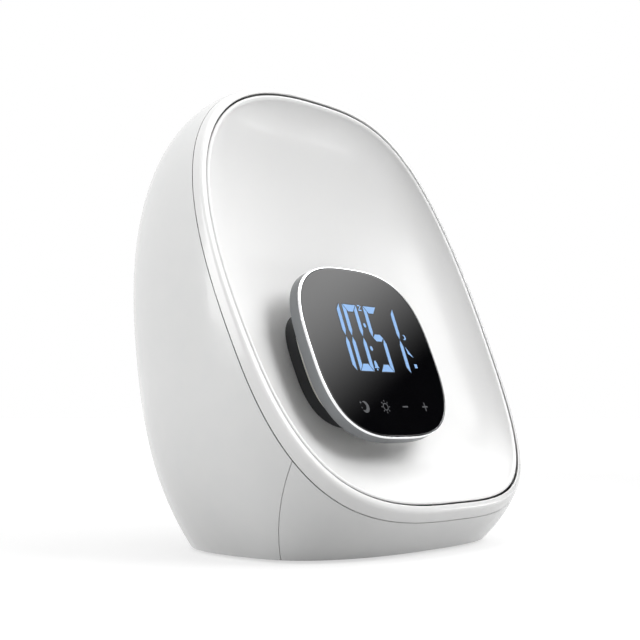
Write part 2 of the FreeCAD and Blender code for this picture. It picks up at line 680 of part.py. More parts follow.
def grille_spots():
    """Hexagonal pattern of holes round the speaker's axis."""
    spots = []
    for row in range(-GRILLE_RINGS, GRILLE_RINGS + 1):
        for column in range(-GRILLE_RINGS, GRILLE_RINGS + 1):
            if abs(row + column) > GRILLE_RINGS:
                continue
            x = GRILLE_PITCH * (column + row / 2.0)
            z = GRILLE_PITCH * row * math.sqrt(3.0) / 2.0
            spots.append((x, SPEAKER_Z + z))
    return spots


def button_spots():
    middle = (len(BUTTON_NAMES) - 1) / 2.0
    return [((middle - index) * BUTTON_PITCH, BUTTON_Z) for index in range(len(BUTTON_NAMES))]


SWITCH_TOP_Y = BUTTON_FLANGE_Y - BUTTON_FLANGE_THICKNESS - BUTTON_STEM_LENGTH - BUTTON_TRAVEL - SWITCH_GAP
BUTTON_BOARD_Y = SWITCH_TOP_Y - SWITCH_HEIGHT
BUTTON_ROW_HALF = BUTTON_PITCH * (len(BUTTON_NAMES) - 1) / 2.0
BUTTON_POST_X = BUTTON_ROW_HALF + BUTTON_RADIUS + BUTTON_FLANGE + BUTTON_POST_RADIUS + 1.0


def button_pieces():
    pieces = {}
    proud = egg_solid(-BUTTON_PROUD)
    switches = []
    for name, (x, z) in zip(BUTTON_NAMES, button_spots()):
        cap = rod(BUTTON_RADIUS, Vec(x, BUTTON_FLANGE_Y - 0.2, z), Vec(x, 90, z)).common(proud)
        flange_back = BUTTON_FLANGE_Y - BUTTON_FLANGE_THICKNESS
        flange = rod(BUTTON_RADIUS + BUTTON_FLANGE, Vec(x, flange_back, z), Vec(x, BUTTON_FLANGE_Y, z))
        stem = rod(BUTTON_STEM_RADIUS, Vec(x, flange_back - BUTTON_STEM_LENGTH, z), Vec(x, flange_back, z))
        pieces[name] = cap.fuse(flange).fuse(stem).removeSplitter()
        half = SWITCH_SIZE / 2.0
        body = block(Vec(x - half, BUTTON_BOARD_Y, z - half), Vec(x + half, SWITCH_TOP_Y - 1.0, z + half))
        knob = rod(1.7, Vec(x, SWITCH_TOP_Y - 1.0, z), Vec(x, SWITCH_TOP_Y, z))
        switches.append(body.fuse(knob))
    reach = BUTTON_POST_X + BUTTON_POST_RADIUS + 0.5
    board = block(
        Vec(-reach, BUTTON_BOARD_Y - BUTTON_BOARD_THICKNESS, BUTTON_Z - BUTTON_BOARD_MARGIN),
        Vec(reach, BUTTON_BOARD_Y, BUTTON_Z + BUTTON_BOARD_MARGIN),
    )
    pieces["button_board"] = board
    pieces["button_switches"] = Part.makeCompound(switches)
    return pieces


def housing_pieces(outer, inner):
    """Rear shell and chin: one wall of even thickness, cut at the opening and at the parting."""
    shell = outer.cut(inner).cut(space_in_front(RING_DEPTH + SHADOW_GAP))
    fittings = []
    for x, y in base_spots():
        fittings.append(rod(BOSS_RADIUS, Vec(x, y, PLATE_TOP), Vec(x, y, PLATE_TOP + BOSS_HEIGHT)))
        side = math.copysign(1.0, x)
        low = Vec(min(x, x + side * 40), y - 1.0, PLATE_TOP)
        high = Vec(max(x, x + side * 40), y + 1.0, PLATE_TOP + BOSS_HEIGHT)
        fittings.append(block(low, high))
    back = [Vec(0, 120, SPEAKER_Z), Vec(0, SPEAKER_SEAT_Y, SPEAKER_Z)]
    seat = rod(SPEAKER_RADIUS, back[1], back[0]).cut(rod(SPEAKER_RADIUS - SPEAKER_SEAT_WALL, back[1], back[0]))
    fittings.append(seat)
    for x in (-BUTTON_POST_X, BUTTON_POST_X):
        fittings.append(rod(BUTTON_POST_RADIUS, Vec(x, BUTTON_BOARD_Y, BUTTON_Z), Vec(x, 120, BUTTON_Z)))
    for fitting in fittings:
        shell = shell.fuse(fitting.common(inner))

    cuts = []
    for x, z in grille_spots():
        cuts.append(rod(GRILLE_HOLE_RADIUS, Vec(x, SPEAKER_SEAT_Y + 0.5, z), Vec(x, 120, z)))
    for x, z in button_spots():
        cuts.append(rod(BUTTON_RADIUS + BUTTON_CLEARANCE, Vec(x, BUTTON_FLANGE_Y + 0.1, z), Vec(x, 120, z)))
    jack_half = JACK_WIDTH / 2.0 + JACK_HOLE_CLEARANCE
    cuts.append(
        block(
            Vec(JACK_X - jack_half, 30, BOARD_TOP - JACK_HOLE_CLEARANCE),
            Vec(JACK_X + jack_half, 120, BOARD_TOP + JACK_HEIGHT + JACK_HOLE_CLEARANCE),
        )
    )
    for x, y in base_spots():
        bore_top = PLATE_LOW + SCREW_LENGTH + SCREW_TIP_GAP
        cuts.append(rod(SCREW_RADIUS + SCREW_BITE_CLEARANCE, Vec(x, y, PLATE_TOP - 1), Vec(x, y, bore_top)))
    shell = shell.cut(Part.makeCompound(cuts))
    chin = shell.common(space_before_parting(-PARTING_GAP / 2.0))
    rear = shell.cut(space_before_parting(PARTING_GAP / 2.0))
    return {"rear_housing": rear, "front_housing": chin}


def bezel_ring(outer):
    slab = outer.common(space_in_front(RING_DEPTH)).cut(space_in_front(0.0))
    outline = rim_outline(RING_FACE)
    wires = [face_wire(outline, 1.0, depth, 0.0) for depth in (-BOWL_REACH, BOWL_REACH)]
    return slab.cut(Part.makeLoft(wires, True, True))


def solids_only(shape):
    solids = shape.Solids
    if len(solids) == 1:
        return solids[0]
    return Part.makeCompound(solids)


def main():
    outer = egg_solid(0.0)
    inner = egg_solid(WALL, -5.0)
    pieces = {}
    pieces.update(housing_pieces(outer, inner))
    pieces["bezel_ring"] = bezel_ring(outer)
    pieces["reflector_dish"], pieces["neck_screws"] = dish_piece()
    pod = pod_pieces()
    pod["pod_neck"] = pod["pod_neck"].common(inner_bowl())
    pieces.update(pod)
    pieces.update(base_pieces())
    pieces.update(board_pieces())
    pieces.update(speaker_pieces())
    pieces.update(button_pieces())
    for name, shape in pieces.items():
        shape = solids_only(shape)
        print("%-20s solids %2d valid %s" % (name, len(shape.Solids), shape.isValid()))
        shape.exportStep("parts/%s.step" % name)


main()
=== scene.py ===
import math
import bmesh
import bpy
import numpy as np
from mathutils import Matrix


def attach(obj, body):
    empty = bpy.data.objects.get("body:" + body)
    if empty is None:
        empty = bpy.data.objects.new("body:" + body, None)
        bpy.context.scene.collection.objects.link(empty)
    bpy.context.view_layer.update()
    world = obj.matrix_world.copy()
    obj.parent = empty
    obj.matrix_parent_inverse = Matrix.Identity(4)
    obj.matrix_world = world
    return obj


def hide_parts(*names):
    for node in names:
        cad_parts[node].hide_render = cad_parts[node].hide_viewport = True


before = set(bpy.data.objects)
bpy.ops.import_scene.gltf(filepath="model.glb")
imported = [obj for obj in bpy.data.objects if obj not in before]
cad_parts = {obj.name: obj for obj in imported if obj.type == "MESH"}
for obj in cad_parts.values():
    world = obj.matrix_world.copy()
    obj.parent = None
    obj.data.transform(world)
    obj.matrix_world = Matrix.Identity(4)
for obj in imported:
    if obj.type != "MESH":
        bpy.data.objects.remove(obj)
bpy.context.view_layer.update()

# Rear housing: the egg-shaped shell behind the slanted opening. Injection-moulded
# glossy white plastic with a 2.4 mm wall; it is screwed to the base from below.
MM = 0.001
# the bowed opening leans back; its foot is a place on Y, its middle a height over the bottom
LEAN = math.radians(22.5)
BOW_RADIUS = 340.0
OPENING_FOOT = -68.7
BOWL_HEIGHT = 80.0
# the housing's flat bottom stands this far over the floor
BOTTOM = 1.0
# the egg: its crown, its reaches at the belly, and how far each draws in at the foot
CROWN_HEIGHT, CROWN_POWER, BACK_POWER = 180.42, 2.9, 1.9
BELLY_HEIGHT, BELLY_WIDTH, BELLY_FRONT, BELLY_BACK = 75.0, 84.0, 57.6, 66.0
WIDTH_TUCK, FRONT_TUCK, BACK_TUCK = 21.5, 24.9, 3.7
TUCK_POWER, FRONT_TUCK_POWER = 2.8, 3.9
EGG_MIDDLE, EGG_DRIFT, EGG_POWER = -16.8, 0.142, 2.5
# the shell's edge lies under the opening by the ring's 3.6 mm and a small gap
SHELL_WALL, SHELL_EDGE = 2.4, 3.95
PARTING_FOOT, PARTING_SLOPE, PARTING_HALF_GAP = -27.4, 0.43, 0.16
RIM_POINTS = 480
GRILLE_HEIGHT, GRILLE_PITCH, GRILLE_HOLE, GRILLE_RINGS, GRILLE_POINTS = 50.0, 4.6, 1.3, 3, 20
BUTTON_ROW, BUTTON_PITCH, BUTTON_HOLE, BUTTON_HOLE_POINTS = 104.0, 15.0, 5.1, 48
INLET_LEFT, INLET_RIGHT, INLET_LOW, INLET_HIGH = -25.8, -16.2, 14.9, 26.5
# the holes' cutters start inside the clock and end behind it
GRILLE_FROM, BUTTON_FROM, INLET_FROM, BEHIND = 47.5, 46.0, 30.0, 90.0


def linear(colour):
    """Linear RGBA of an sRGB hex colour: c/12.92 below 0.04045, else ((c+0.055)/1.055)^2.4."""
    values = [int(colour[index:index + 2], 16) / 255.0 for index in (1, 3, 5)]
    return tuple(v / 12.92 if v <= 0.04045 else ((v + 0.055) / 1.055) ** 2.4 for v in values) + (1.0,)


def add_node(owner, kind, inputs, **settings):
    """Adds a shader node; inputs that are sockets are linked, other inputs are set."""
    tree = owner.node_tree
    node = tree.nodes.new(kind)
    for key, value in settings.items():
        setattr(node, key, value)
    for key, value in inputs.items():
        if isinstance(value, bpy.types.NodeSocket):
            tree.links.new(value, node.inputs[key])
        else:
            node.inputs[key].default_value = value
    return node


def finish_of(name, light, dark, roughness, spread, grain_mm, bump_mm=0.0, ior=1.46, metallic=0.0,
              coat=0.0, stretch=(1.0, 1.0, 1.0), glow=0.0):
    """Procedural finish: colour and roughness drift over a noise whose grain is given in millimetres;
    a metal keeps the default index of refraction."""
    material = bpy.data.materials.new(name)
    material.use_nodes = True
    material.node_tree.nodes.clear()
    place = add_node(material, "ShaderNodeTexCoord", {})
    mapping = add_node(material, "ShaderNodeMapping", {
        "Vector": place.outputs["Object"], "Scale": stretch})
    noise = add_node(material, "ShaderNodeTexNoise", {
        "Vector": mapping.outputs["Vector"], "Scale": 1.0 / (grain_mm * MM), "Detail": 3.0,
        "Roughness": 0.55})
    tint = add_node(material, "ShaderNodeMix", {
        "Factor": noise.outputs["Fac"], "A": linear(dark), "B": linear(light)}, data_type="RGBA")
    rough = add_node(material, "ShaderNodeMapRange", {
        "Value": noise.outputs["Fac"], "To Min": roughness - spread, "To Max": roughness + spread})
    inputs = {"Roughness": rough.outputs["Result"], "Metallic": metallic, "Coat Weight": coat,
              "Coat Roughness": 0.06, "Base Color": tint.outputs[2]}
    if not metallic:
        inputs["IOR"] = ior
    if glow:
        inputs["Emission Color"] = tint.outputs[2]
        inputs["Emission Strength"] = glow
    if bump_mm:
        bump = add_node(material, "ShaderNodeBump", {
            "Height": noise.outputs["Fac"], "Strength": 0.6, "Distance": bump_mm * MM})
        inputs["Normal"] = bump.outputs["Normal"]
    shader = add_node(material, "ShaderNodeBsdfPrincipled", inputs)
    add_node(material, "ShaderNodeOutputMaterial", {"Surface": shader.outputs["BSDF"]})
    return material


def shade_smooth(mesh, sharp_deg=35.0):
    """Smooth shading, with hard edges where two faces meet above an angle."""
    mesh.polygons.foreach_set("use_smooth", np.ones(len(mesh.polygons), bool))
    mesh.set_sharp_from_angle(angle=math.radians(sharp_deg))


def add_piece(name, mesh, material, sharp_deg=35.0):
    """Links an object that carries the mesh, smooth-shaded and in one material."""
    shade_smooth(mesh, sharp_deg)
    mesh.materials.append(material)
    piece = bpy.data.objects.new(name, mesh)
    bpy.context.scene.collection.objects.link(piece)
    return piece


def make_piece(name, points_mm, faces, material, sharp_deg=35.0):
    """A piece from points in millimetres and faces, which are turned outward."""
    mesh = bpy.data.meshes.new(name)
    mesh.from_pydata((np.asarray(points_mm) * MM).tolist(), [], faces)
    work = bmesh.new()
    work.from_mesh(mesh)
    bmesh.ops.recalc_face_normals(work, faces=work.faces)
    work.to_mesh(mesh)
    work.free()
    return add_piece(name, mesh, material, sharp_deg)


def skin(loops, ring_of_loops=False, caps=(0, -1)):
    """Points and faces of a skin over closed loops (R, N, 3): quads (r,n)-(r,n+1)-(r+1,n+1)-(r+1,n).
    The loops close on themselves as a ring, or each loop in caps gets a fan round its middle."""
    loops = np.asarray(loops)
    rows, count = loops.shape[:2]
    points = loops.reshape(-1, 3)
    row = np.arange(rows if ring_of_loops else rows - 1)[:, None]
    along = np.arange(count)[None, :]
    after = (along + 1) % count
    below = (row + 1) % rows
    quads = np.stack([row * count + along, row * count + after,
                      below * count + after, below * count + along], -1)
    faces = quads.reshape(-1, 4).tolist()
    for cap in (() if ring_of_loops else caps):
        start, middle = (cap % rows) * count, len(points)
        points = np.vstack([points, loops[cap].mean(0)])
        faces += [[start + n, start + (n + 1) % count, middle] for n in range(count)]
    return points, faces


def joined(parts):
    """Points and faces of several (points, faces) pairs as one."""
    points, faces = np.zeros((0, 3)), []
    for part_points, part_faces in parts:
        faces += [[i + len(points) for i in face] for face in part_faces]
        points = np.vstack([points, part_points])
    return points, faces


def even_angles(count):
    """The angles of even steps round a circle."""
    return 2.0 * math.pi * np.arange(count) / count


def egg_reach(height, inset=0.0):
    """Half-width, front and back reach of the egg at a height over its flat bottom: above the belly
    (1 - t^p)^(1/p) of the belly's, below it the belly's less a power of the drop."""
    # the clips keep points over the crown and far under the bottom finite
    rise = np.clip((height - BELLY_HEIGHT) / (CROWN_HEIGHT - inset - BELLY_HEIGHT), 0.0, 0.99999)
    drop = np.clip((BELLY_HEIGHT - height) / BELLY_HEIGHT, 0.0, 1.4)
    front = (1.0 - rise ** CROWN_POWER) ** (1.0 / CROWN_POWER)
    back = (1.0 - rise ** BACK_POWER) ** (1.0 / BACK_POWER)
    return ((BELLY_WIDTH - inset) * front - WIDTH_TUCK * drop ** TUCK_POWER,
            (BELLY_FRONT - inset) * front - FRONT_TUCK * drop ** FRONT_TUCK_POWER,
            (BELLY_BACK - inset) * back - BACK_TUCK * drop ** TUCK_POWER)


def outside_egg(points, inset=0.0):
    """|x/A|^2.5 + |(y - centre)/B|^2.5 - 1, positive outside the egg; its centre drifts back with
    the height."""
    height = points[..., 2] - BOTTOM
    width, front, back = egg_reach(height, inset)
    along = points[..., 1] - EGG_MIDDLE - EGG_DRIFT * height
    reach = np.where(along > 0.0, back, front)
    level = np.abs(points[..., 0] / width) ** EGG_POWER + np.abs(along / reach) ** EGG_POWER - 1.0
    return np.where(height >= CROWN_HEIGHT - inset, 1.0, level)


def opening_point(across, rise, depth, bow=1.0):
    """A point of the bowed opening, sunk along its normal: y = y0 + rise sin L + sunk cos L,
    z = z0 + rise cos L - sunk sin L, sunk = depth + bow x^2/(2R) cos L."""
    sunk = depth + bow * across ** 2 / (2.0 * BOW_RADIUS) * math.cos(LEAN)
    y = OPENING_FOOT + BOWL_HEIGHT * math.tan(LEAN) + rise * math.sin(LEAN) + sunk * math.cos(LEAN)
    z = BOWL_HEIGHT + BOTTOM + rise * math.cos(LEAN) - sunk * math.sin(LEAN)
    return np.stack(np.broadcast_arrays(across, y, z), -1)


def halve(inside, near, far, steps=44):
    """Halves the span between near (inside) and far (outside) until it is a point."""
    for _ in range(steps):
        middle = (near + far) / 2.0
        hold = inside(middle)
        near = np.where(hold, middle, near)
        far = np.where(hold, far, middle)
    return near


def rim_curve(depth, inset, count=RIM_POINTS):
    """The egg's outline on the opening at a depth, moved inwards by an inset: p - inset * unit normal."""
    turn = even_angles(count)
    # 5 mm from the middle of the opening is inside the egg, 140 mm is outside
    span = halve(
        lambda r: outside_egg(opening_point(r * np.cos(turn), r * np.sin(turn), depth)) < 0.0,
        np.full(count, 5.0), np.full(count, 140.0))
    across, rise = span * np.cos(turn), span * np.sin(turn)
    step_x = np.roll(across, -1) - np.roll(across, 1)
    step_z = np.roll(rise, -1) - np.roll(rise, 1)
    length = np.hypot(step_x, step_z)
    return across - inset * step_z / length, rise + inset * step_x / length


def shell_sheet(inset, rows=110):
    """Egg surface from the opening's edge to the back pole: directions turn evenly from the edge to the
    pole, seen from a middle point, and each ray is halved on the egg."""
    middle = np.array([0.0, 10.0, 85.0])
    pole_drop = 0.12
    across, rise = rim_curve(SHELL_EDGE, 0.0)
    edge = opening_point(across, rise, SHELL_EDGE) - middle
    edge = edge / np.linalg.norm(edge, axis=-1, keepdims=True)
    pole = np.array([0.0, 1.0, -pole_drop]) / math.hypot(1.0, pole_drop)
    angle = np.arccos(np.clip(edge @ pole, -1.0, 1.0))[None, :, None]
    share = (np.arange(rows) / rows)[:, None, None]
    ways = (np.sin((1.0 - share) * angle) * edge[None] + np.sin(share * angle) * pole) / np.sin(angle)
    # 5 mm from the middle point is inside the egg, 200 mm is outside
    reach = halve(
        lambda r: outside_egg(middle + r[..., None] * ways, inset) < 0.0,
        np.full(ways.shape[:2], 5.0), np.full(ways.shape[:2], 200.0))
    return middle + reach[..., None] * ways


def shell_part(name, material, keep_behind):
    """Outer and inner egg sheets joined at the opening, then cut at the flat bottom and at the
    parting plane."""
    work = bmesh.new()
    rims = []
    for inset in (0.0, SHELL_WALL):
        points, faces = skin(shell_sheet(inset), caps=(-1,))
        verts = [work.verts.new(p) for p in points.tolist()]
        for face in faces:
            work.faces.new([verts[i] for i in face])
        rims.append(verts[:RIM_POINTS])
    for n in range(RIM_POINTS):
        after = (n + 1) % RIM_POINTS
        work.faces.new([rims[0][n], rims[0][after], rims[1][after], rims[1][n]])
    way = 1.0 if keep_behind else -1.0
    parting = (0.0, PARTING_FOOT + way * PARTING_HALF_GAP, BOTTOM)
    cuts = (((0.0, 0.0, BOTTOM), (0.0, 0.0, 1.0)), (parting, (0.0, way, way * PARTING_SLOPE)))
    for place, normal in cuts:
        cut = bmesh.ops.bisect_plane(
            work, geom=work.verts[:] + work.edges[:] + work.faces[:], plane_co=place, plane_no=normal,
            clear_inner=True)
        edges = [e for e in cut["geom_cut"] if isinstance(e, bmesh.types.BMEdge)]
        bmesh.ops.triangle_fill(work, use_beauty=True, use_dissolve=False, edges=edges)
    bmesh.ops.recalc_face_normals(work, faces=work.faces)
    bmesh.ops.scale(work, vec=(MM, MM, MM), verts=work.verts)
    mesh = bpy.data.meshes.new(name)
    work.to_mesh(mesh)
    work.free()
    return add_piece(name, mesh, material)


def rod_points(radius, start_y, end_y, x, z, count):
    """Points and faces of a rod along Y, from two circles (x + r cos a, y, z + r sin a)."""
    turn = even_angles(count)
    return skin([np.stack([x + radius * np.cos(turn), np.full(count, y), z + radius * np.sin(turn)], -1)
                 for y in (start_y, end_y)])


# glossy white moulded plastic: clear highlights whose sharpness drifts a little over centimetres
white_shell = finish_of("glossy-white-plastic", "#EFEFEE", "#EAEBEB", 0.24, 0.03, 9.0, coat=0.25)
rear_shell = shell_part("rear_shell", white_shell, True)
rings = range(-GRILLE_RINGS, GRILLE_RINGS + 1)
tools = [rod_points(GRILLE_HOLE, GRILLE_FROM, BEHIND, GRILLE_PITCH * (c + r / 2.0),
                    GRILLE_HEIGHT + GRILLE_PITCH * r * math.sqrt(3.0) / 2.0, GRILLE_POINTS)
         for r in rings for c in rings if abs(r + c) <= GRILLE_RINGS]
tools += [rod_points(BUTTON_HOLE, BUTTON_FROM, BEHIND, BUTTON_PITCH * k, BUTTON_ROW, BUTTON_HOLE_POINTS)
          for k in range(-2, 3)]
inlet_corners = ((INLET_LEFT, INLET_LOW), (INLET_RIGHT, INLET_LOW),
                 (INLET_RIGHT, INLET_HIGH), (INLET_LEFT, INLET_HIGH))
tools.append(skin([[(x, y, z) for x, z in inlet_corners] for y in (INLET_FROM, BEHIND)]))
cutter = make_piece("hole_cutter", *joined(tools), white_shell)
cut = rear_shell.modifiers.new("holes", "BOOLEAN")
cut.operation, cut.solver, cut.object = "DIFFERENCE", "EXACT", cutter
bpy.context.view_layer.update()
holed = bpy.data.meshes.new_from_object(rear_shell.evaluated_get(bpy.context.evaluated_depsgraph_get()))
rear_shell.modifiers.clear()
rear_shell.data = holed
shade_smooth(holed)
bpy.data.objects.remove(cutter)
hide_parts("rear_housing")
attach(rear_shell, "clock")

# Chin: the front shell below the opening, the same glossy plastic and wall, moulded
# on its own and clipped to the rear shell along the parting line.
chin = shell_part("chin_shell", white_shell, False)
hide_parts("front_housing")
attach(chin, "clock")

# Bezel ring: a bowed white ring, 2.5 mm wide on its face and 3.6 mm deep, with softly
# rounded edges; it closes the slanted opening and is glued in a shadow gap.
RING_POINTS = 720
ring_profile = [(0.0, 3.6), (0.0, 2.6), (0.0, 1.6), (0.0, 1.0), (0.03, 0.7), (0.12, 0.42), (0.28, 0.2),
                (0.5, 0.06), (0.8, 0.0), (1.3, 0.0), (1.8, 0.0), (2.1, 0.05), (2.3, 0.17), (2.43, 0.35),
                (2.5, 0.65), (2.5, 1.5), (2.5, 3.6), (1.25, 3.6)]
ring_loops = [opening_point(*rim_curve(depth, inset, RING_POINTS), depth)
              for inset, depth in ring_profile]
ring_points, ring_faces = skin(ring_loops, ring_of_loops=True)
# the shell's plastic, a little whiter and shinier
white_ring = finish_of("glossy-white-ring", "#F6F6F5", "#F2F2F2", 0.22, 0.03, 8.0, coat=0.25)
ring = make_piece("bezel_ring_moulded", ring_points, ring_faces, white_ring, 60.0)
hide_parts("bezel_ring")
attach(ring, "clock")

# Reflector dish: a deep white bowl, 35 mm deep with a 1.9 mm wall and a rounded lip,
# moulded in bright glossy plastic that spreads the sunrise light.
DISH_INSET, LIP_WIDTH, DISH_DEPTH, DISH_WALL = 2.9, 1.6, 35.0, 1.9
BOWL_SHARE_POWER, BOWL_DEPTH_POWER, FLAT_SHARE = 2.2, 1.5, 0.25
# the depths at which the back and the face of the bowl meet the lip
BACK_START, FACE_START = 1.2, 1.1


def bowl_loops(inset, depth, first_depth, rows):
    """Bowl wall from its edge to the floor: share^2.2 = cos^2 a and depth = D sin(a)^(2/1.5),
    then a flat floor from a quarter of the width to the middle."""
    across, rise = rim_curve(0.0, inset)
    start = math.asin((first_depth / depth) ** (BOWL_DEPTH_POWER / 2.0))
    stop = math.acos(FLAT_SHARE ** (BOWL_SHARE_POWER / 2.0))
    loops = []
    for angle in np.linspace(start, stop, rows):
        share = math.cos(angle) ** (2.0 / BOWL_SHARE_POWER)
        bow = min(1.0, (share - FLAT_SHARE) / (1.0 - FLAT_SHARE))
        sunk = depth * math.sin(angle) ** (2.0 / BOWL_DEPTH_POWER)
        loops.append(opening_point(share * across, share * rise, sunk, bow))
    floor = depth * math.sin(stop) ** (2.0 / BOWL_DEPTH_POWER)
    loops += [opening_point(share * across, share * rise, floor, 0.0) for share in (0.245, 0.16, 0.08)]
    return loops


lip_profile = ((2.92, 0.95), (3.0, 0.75), (3.2, 0.58), (3.5, 0.5), (3.8, 0.52), (4.05, 0.62), (4.3, 0.82))
dish_loops = bowl_loops(DISH_INSET, DISH_DEPTH + DISH_WALL, BACK_START, 60)[::-1]
dish_loops += [opening_point(*rim_curve(0.0, inset), depth) for inset, depth in lip_profile]
dish_loops += bowl_loops(DISH_INSET + LIP_WIDTH, DISH_DEPTH, FACE_START, 90)
dish_points, dish_faces = skin(dish_loops)
# bright white plastic: soft, wide highlights over a colour close to white
white_dish = finish_of("bright-white-reflector", "#FBFBFA", "#F8F8F8", 0.30, 0.03, 10.0, coat=0.1)
dish = make_piece("dish_moulded", dish_points, dish_faces, white_dish, 70.0)
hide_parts("reflector_dish")
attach(dish, "clock")

# Pod neck: the dark recessed foot that carries the display pod in the dish; moulded
# plastic, screwed through the dish's floor.
POD_CENTRE = np.array([0.0, -23.0, 75.9])
POD_HALF_WIDTH, POD_HALF_HEIGHT, POD_POWER = 39.0, 35.6, 2.9


def leaned(u, v, w):
    """(u, v, w) of the pod in the object's frame: y = v sin L - w cos L, z = v cos L + w sin L."""
    y = v * math.sin(LEAN) - w * math.cos(LEAN)
    z = v * math.cos(LEAN) + w * math.sin(LEAN)
    return np.stack([u, y, z], -1) + POD_CENTRE


def pod_loop(inset, w, count=360, scale=1.0):
    """Rounded-square loop |u/a|^2.9 + |v/b|^2.9 = 1 at height w over the glass plane, leaned into
    place."""
    c, s = np.cos(even_angles(count)), np.sin(even_angles(count))
    u = scale * (POD_HALF_WIDTH - inset) * np.sign(c) * np.abs(c) ** (2.0 / POD_POWER)
    v = scale * (POD_HALF_HEIGHT - inset) * np.sign(s) * np.abs(s) ** (2.0 / POD_POWER)
    return leaned(u, v, np.full(count, w))


# dark moulded plastic with a fine grain: broad dull highlights
dark_plastic = finish_of("dark-grained-plastic", "#2B2C2E", "#232426", 0.48, 0.05, 1.2, bump_mm=0.03)
neck_profile = ((11.0, -13.62), (11.0, -14.2), (10.9, -15.4), (10.4, -17.0), (9.9, -19.0), (9.5, -20.9))
neck_points, neck_faces = skin([pod_loop(inset, w) for inset, w in neck_profile])
neck = make_piece("neck_moulded", neck_points, neck_faces, dark_plastic)
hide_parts("pod_neck")
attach(neck, "clock")

# Light diffuser: the frosted ring behind the pod where the sunrise light comes out,
# 3 mm deep, milky plastic with rounded edges, clamped between cup and neck.
diffuser_profile = ((9.6, -10.62), (9.5, -10.8), (9.5, -12.0), (9.5, -13.4), (9.62, -13.58),
                    (16.0, -13.58), (16.0, -10.62))
# milky plastic: a dull warm white with no clear highlight
frosted = finish_of("frosted-diffuser", "#DAD9D3", "#D2D1CB", 0.55, 0.04, 3.0, bump_mm=0.02)
diffuser_loops = [pod_loop(inset, w) for inset, w in diffuser_profile]
diffuser = make_piece("diffuser_frosted", *skin(diffuser_loops, ring_of_loops=True), frosted)
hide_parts("light_diffuser")
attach(diffuser, "clock")

# Pod rear cup: dark tapered back cover of the pod, 5.6 mm deep, moulded plastic
# that holds the display board and is screwed from behind.
cup_profile = ((9.7, -7.0), (4.6, -5.02), (3.1, -5.02), (3.0, -5.15), (3.3, -5.5), (4.6, -7.2),
               (6.3, -9.1), (7.6, -10.4), (8.0, -10.58), (8.6, -10.6))
cup_points, cup_faces = skin([pod_loop(inset, w) for inset, w in cup_profile])
cup = make_piece("cup_moulded", cup_points, cup_faces, dark_plastic)
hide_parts("pod_rear_cup")
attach(cup, "clock")

# Pod bezel: satin anodised aluminium band, 5 mm deep, with a diamond-cut polished
# chamfer round the glass; cut from an extruded section and glued to the cup.
BAND_POINTS = 480
# anodised aluminium: a dull grey metal whose fine grain is drawn out across the face
satin = finish_of("satin-anodised-aluminium", "#848688", "#77797B", 0.36, 0.05, 0.35, metallic=1.0,
                  stretch=(0.06, 1.0, 1.0))
# cut and polished aluminium: a near mirror that flashes white
polished = finish_of("polished-aluminium-edge", "#F4F5F6", "#ECEDEF", 0.10, 0.02, 2.0, metallic=1.0)
band_side = [(-0.9, -5.0), (-1.0, -4.9), (-1.0, -3.0), (-1.0, -1.6)]
band_chamfer = [(-1.0, -0.55), (-0.95, -0.45), (-0.52, -0.03), (-0.45, 0.0), (-0.14, 0.0)]
band_inside = [(-0.1, -0.04), (-0.1, -1.5), (1.6, -1.5), (1.6, -5.0)]
band_loops = [pod_loop(inset, w, BAND_POINTS) for inset, w in band_side + band_chamfer + band_inside]
band = make_piece("bezel_band", *skin(band_loops, ring_of_loops=True), satin)
band.data.materials.append(polished)
finish_index = np.zeros(len(band.data.polygons), np.int32)
chamfer_start = len(band_side) * BAND_POINTS
finish_index[chamfer_start:chamfer_start + len(band_chamfer) * BAND_POINTS] = 1
band.data.polygons.foreach_set("material_index", finish_index)
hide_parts("pod_bezel")
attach(band, "clock")

# Pod glass: one 1.5 mm sheet of black back-printed glass with a ground edge, bonded
# into the band; the display and the touch marks show through it.
GLASS_POINTS = 480
# black behind polished glass: a dark mirror
black_glass = finish_of("black-back-printed-glass", "#0A0A0C", "#060608", 0.045, 0.01, 12.0, ior=1.52)
glass_edge = ((0.05, -1.48), (0.0, -1.4), (0.0, -0.9), (0.0, -0.4), (0.05, -0.22), (0.18, -0.08),
              (0.4, 0.0), (0.6, 0.0), (0.9, 0.0))
glass_loops = [pod_loop(0.0, -1.48, GLASS_POINTS, scale) for scale in (0.5, 0.9)]
glass_loops += [pod_loop(inset, w, GLASS_POINTS) for inset, w in glass_edge]
glass_loops += [pod_loop(0.9, 0.0, GLASS_POINTS, scale) for scale in (0.85, 0.4)]
glass = make_piece("glass_sheet", *skin(glass_loops), black_glass, 20.0)
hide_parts("pod_glass")
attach(glass, "clock")

# Display digits: the lit light-blue segments seen through the glass, drawn as thin
# plates on it; 28 mm high and slightly slanted, each over a thin dark outline.
TOP, MIDDLE, LOW, STROKE, BAR, SPAN, SLANT = 19.6, 5.8, -8.8, 2.0, 3.0, 6.9, 0.07
# lit segments: a flat pale blue with a weak glow of its own
lit_blue = finish_of("lit-blue-segments", "#86AFDF", "#80A9DA", 0.5, 0.02, 2.0, glow=0.18)
# the unlit rim of a segment: a blue-black just lighter than the glass
segment_edge = finish_of("dark-segment-edge", "#10141C", "#0B0E14", 0.4, 0.03, 2.0)


def plates(name, outlines, low_w, high_w, material):
    """Flat plates on the glass: each (u, v) outline is raised from low_w to high_w, with side walls."""
    parts = []
    for outline in outlines:
        u, v = np.asarray(outline, float).T
        count = len(u)
        points = np.vstack([leaned(u, v, np.full(count, w)) for w in (low_w, high_w)])
        faces = [list(range(count))[::-1], list(range(count, 2 * count))]
        faces += [[n, (n + 1) % count, count + (n + 1) % count, count + n] for n in range(count)]
        parts.append((points, faces))
    return make_piece(name, *joined(parts), material)


